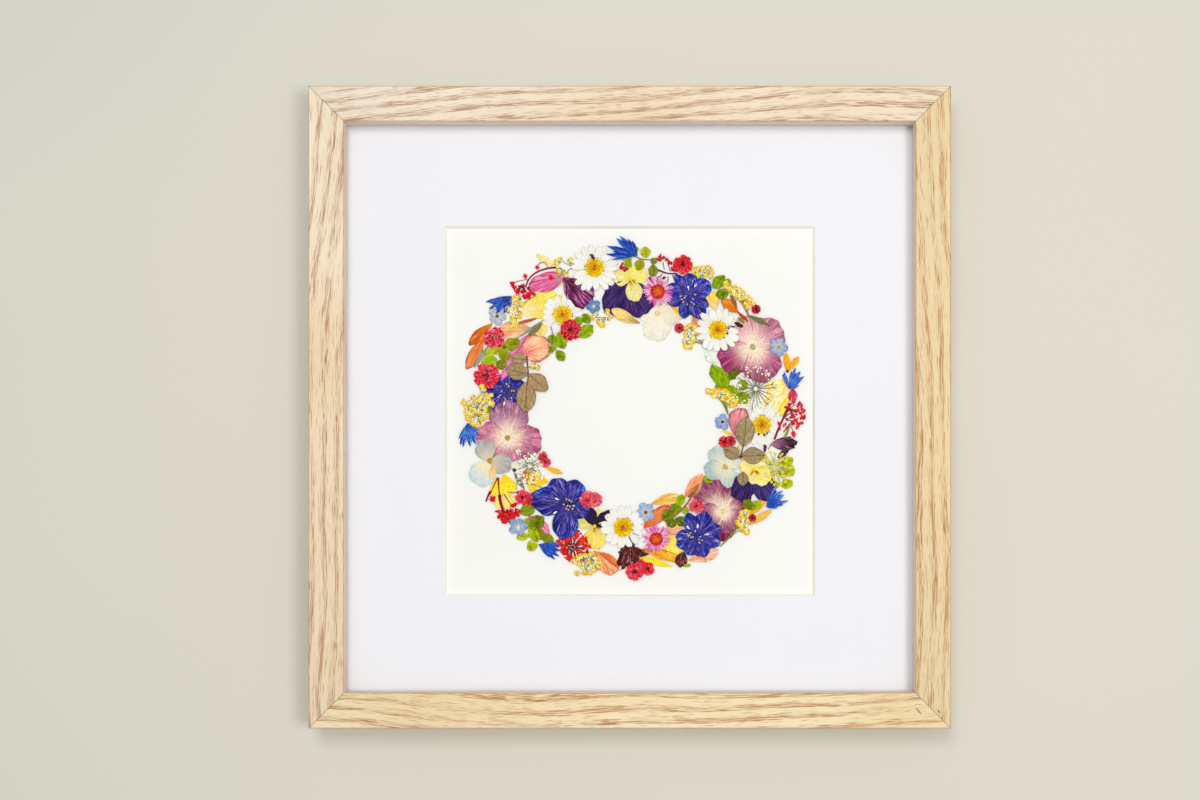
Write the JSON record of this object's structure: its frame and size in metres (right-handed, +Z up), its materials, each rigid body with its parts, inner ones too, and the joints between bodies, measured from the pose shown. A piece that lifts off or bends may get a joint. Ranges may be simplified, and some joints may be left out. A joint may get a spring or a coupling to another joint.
{
  "type": "pressed flower frame",
  "caption": "Square oak wall frame with glazing, a window mat and a wreath of pressed flowers, petals and leaves fixed on the sheet behind it.",
  "frame": {"origin": "hanging point: the middle notch of the sawtooth hanger, on the plane of the wall", "axes": "+Z up, -Y out of the picture towards the viewer, +Y into the wall, +X to the right as seen from the front"},
  "size_m": [0.334, 0.0276, 0.334],
  "materials": {
    "oak": "planed oak with open pores under clear matt oil",
    "tab_steel": "bright zinc-plated spring steel",
    "hanger_brass": "brassed steel",
    "glazing": "clear, polished",
    "mat_board": "smooth cool-white mat board with a cream core",
    "mounting_paper": "smooth warm off-white paper",
    "fibreboard": "pressed hardboard, smooth",
    "white_petal": "dried white petals, matt and thin, yellow disc",
    "mauve_petal": "dried mauve petals, matt and veined",
    "pale_petal": "dried pale petals, matt and slightly see-through",
    "violet_blue_petal": "dried violet-blue petals, velvety",
    "blue_petal": "dried blue ray florets, matt",
    "yellow_petal": "dried yellow petals and florets, matt",
    "pink_petal": "dried pink to coral petals, matt",
    "red_petal": "dried crimson petals, crinkled",
    "cream_floret": "dried cream florets on fine stalks",
    "tan_leaf": "dried olive-tan leaflets, matt"
  },
  "bodies": {
    "root": {"rail_top": "oak", "rail_right": "oak", "rail_bottom": "oak", "rail_left": "oak", "tab_top_left": "tab_steel", "tab_top_right": "tab_steel", "tab_right_upper": "tab_steel", "tab_right_lower": "tab_steel", "tab_bottom_right": "tab_steel", "tab_bottom_left": "tab_steel", "tab_left_lower": "tab_steel", "tab_left_upper": "tab_steel", "hanger": "hanger_brass", "hanger_screw_left": "hanger_brass", "hanger_screw_right": "hanger_brass", "glazing": "glazing", "window_mat": "mat_board", "mounting_sheet": "mounting_paper", "backing_board": "fibreboard", "daisy_1": "white_petal", "daisy_2": "white_petal", "daisy_3": "white_petal", "daisy_4": "white_petal", "daisy_5": "white_petal", "hydrangea_mauve_left": "mauve_petal", "hydrangea_mauve_right": "mauve_petal", "hydrangea_magenta": "mauve_petal", "petal_maroon_top": "mauve_petal", "hydrangea_cream_top": "pale_petal", "hydrangea_pale_left": "pale_petal", "hydrangea_pale_right": "pale_petal", "larkspur_left": "violet_blue_petal", "larkspur_bottom_left": "violet_blue_petal", "larkspur_bottom_right": "violet_blue_petal", "larkspur_top": "violet_blue_petal", "viola_top": "violet_blue_petal", "viola_right": "violet_blue_petal", "cornflower_top_left": "blue_petal", "cornflower_left": "blue_petal", "cornflower_bottom": "blue_petal", "cornflower_bottom_right": "blue_petal", "cornflower_right": "blue_petal", "cornflower_top": "blue_petal", "viola_bottom": "yellow_petal", "achillea_left": "yellow_petal", "achillea_bottom": "yellow_petal", "petal_yellow_top": "yellow_petal", "aster_top": "pink_petal", "aster_bottom": "pink_petal", "petal_coral": "pink_petal", "petal_salmon": "pink_petal", "red_lace": "red_petal", "carnation_left_upper": "red_petal", "carnation_left_lower": "red_petal", "carnation_top": "red_petal", "carnation_inner": "red_petal", "lace_right": "cream_floret", "lace_left": "cream_floret", "rose_spray_left": "tan_leaf", "rose_spray_right": "tan_leaf"}
  },
  "joints": []
}
